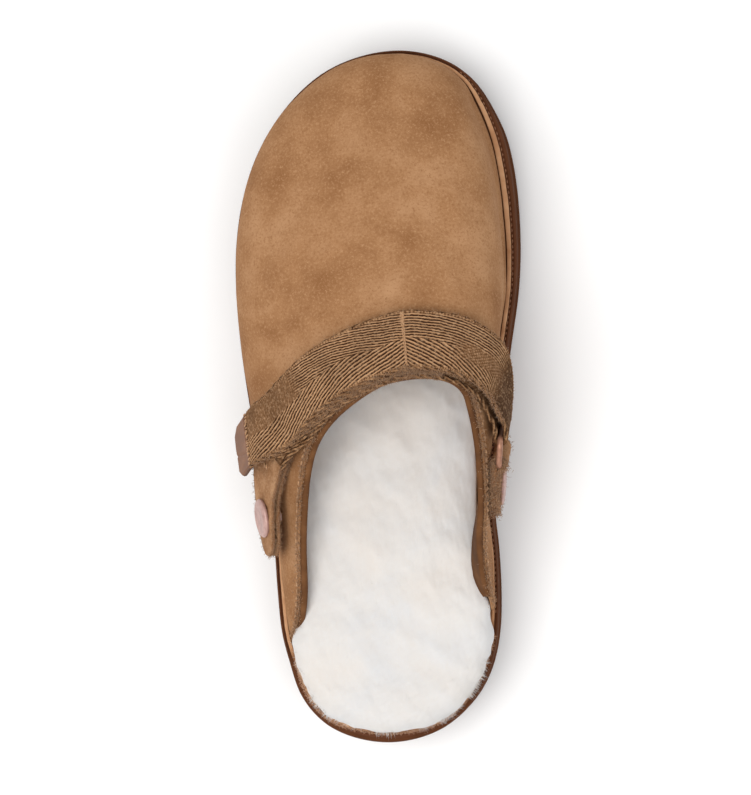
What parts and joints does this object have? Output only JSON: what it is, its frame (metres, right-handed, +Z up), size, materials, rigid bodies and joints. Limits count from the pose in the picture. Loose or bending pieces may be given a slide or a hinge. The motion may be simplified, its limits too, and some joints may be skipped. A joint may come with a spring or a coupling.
{
  "type": "clog slipper",
  "caption": "Left backless clog slipper with a flared lugged sole, hollow suede upper, fleece footbed and a webbing strap folded over the instep.",
  "frame": {"origin": "on the floor under the middle of the heel, on the flat of the heel tread", "axes": "+Y runs from the heel to the toe, +X to the medial side of this left shoe, +Z up"},
  "size_m": [0.112, 0.269, 0.0916],
  "materials": {
    "sole_rubber": "dark brown moulded rubber, satin",
    "welt": "light tan flange, matte",
    "suede": "chestnut suede with a cloudy nap",
    "insole_skin": "suede side of the sheepskin",
    "fleece": "off-white sheep fleece",
    "webbing": "brown herringbone tape with a pale slub",
    "closure_hooks": "brown hook and loop patch, fuzzy",
    "label_patch": "mauve-brown smooth pull tab, bare",
    "rose_metal": "rose-toned metal rod, satin",
    "cap_lacquer": "mauve-pink lacquered cap, satin"
  },
  "bodies": {
    "root": {"outsole": "sole_rubber", "welt": "welt", "upper": "suede", "insole": "insole_skin", "fleece": "fleece", "strap": "webbing", "closure": "closure_hooks", "label": "label_patch", "ring": "rose_metal", "tab_lateral": "suede", "tab_medial": "suede", "snap_lateral": "cap_lacquer", "snap_medial": "cap_lacquer"}
  },
  "joints": []
}
